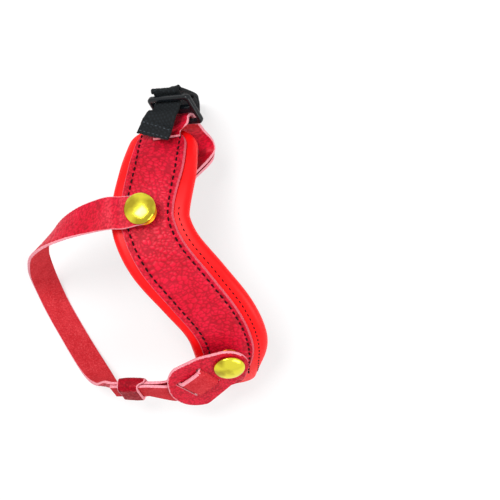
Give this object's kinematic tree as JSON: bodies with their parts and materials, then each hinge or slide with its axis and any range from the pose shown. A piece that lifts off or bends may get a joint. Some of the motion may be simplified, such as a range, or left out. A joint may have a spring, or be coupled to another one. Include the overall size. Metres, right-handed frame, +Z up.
{
  "type": "camera hand grip strap",
  "caption": "Curved padded leather strap for the back of a hand, with a wrist strap, slotted tab, press snaps, buckle and webbing loop for holding a camera.",
  "frame": {"origin": "middle of the bounding box's underside, on the surface the strap lies on", "axes": "+Y from the lower snap's end to the buckle's end, +Z up out of the pad's outer face, +X from the wrist strap's side to the pad's side"},
  "size_m": [0.115, 0.1474, 0.0679],
  "materials": {
    "smooth_cover": "smooth bright red, semi gloss",
    "grain_leather": "pebble grain, crimson, raw pink edges",
    "lining": "matt soft lining",
    "polished_brass": "polished gold plating",
    "plated_steel": "dull gold plating",
    "nylon_webbing": "ribbed black webbing",
    "black_plastic": "gloss black"
  },
  "bodies": {
    "root": {"hand_pad": "smooth_cover", "pad_lining": "lining", "grain_panel": "grain_leather", "wrist_strap": "grain_leather", "strap_keeper": "grain_leather", "slotted_tab": "grain_leather", "end_loop": "grain_leather", "under_strap": "grain_leather", "anchor_tongue": "grain_leather", "anchor_eyelet": "polished_brass", "lug_webbing": "nylon_webbing", "tri_glide": "black_plastic", "upper_snap_cap": "polished_brass", "upper_snap_socket": "polished_brass", "upper_snap_stud": "plated_steel", "upper_snap_post": "plated_steel", "lower_snap_cap": "polished_brass", "lower_snap_socket": "polished_brass", "lower_snap_stud": "plated_steel", "lower_snap_post": "plated_steel"}
  },
  "joints": []
}
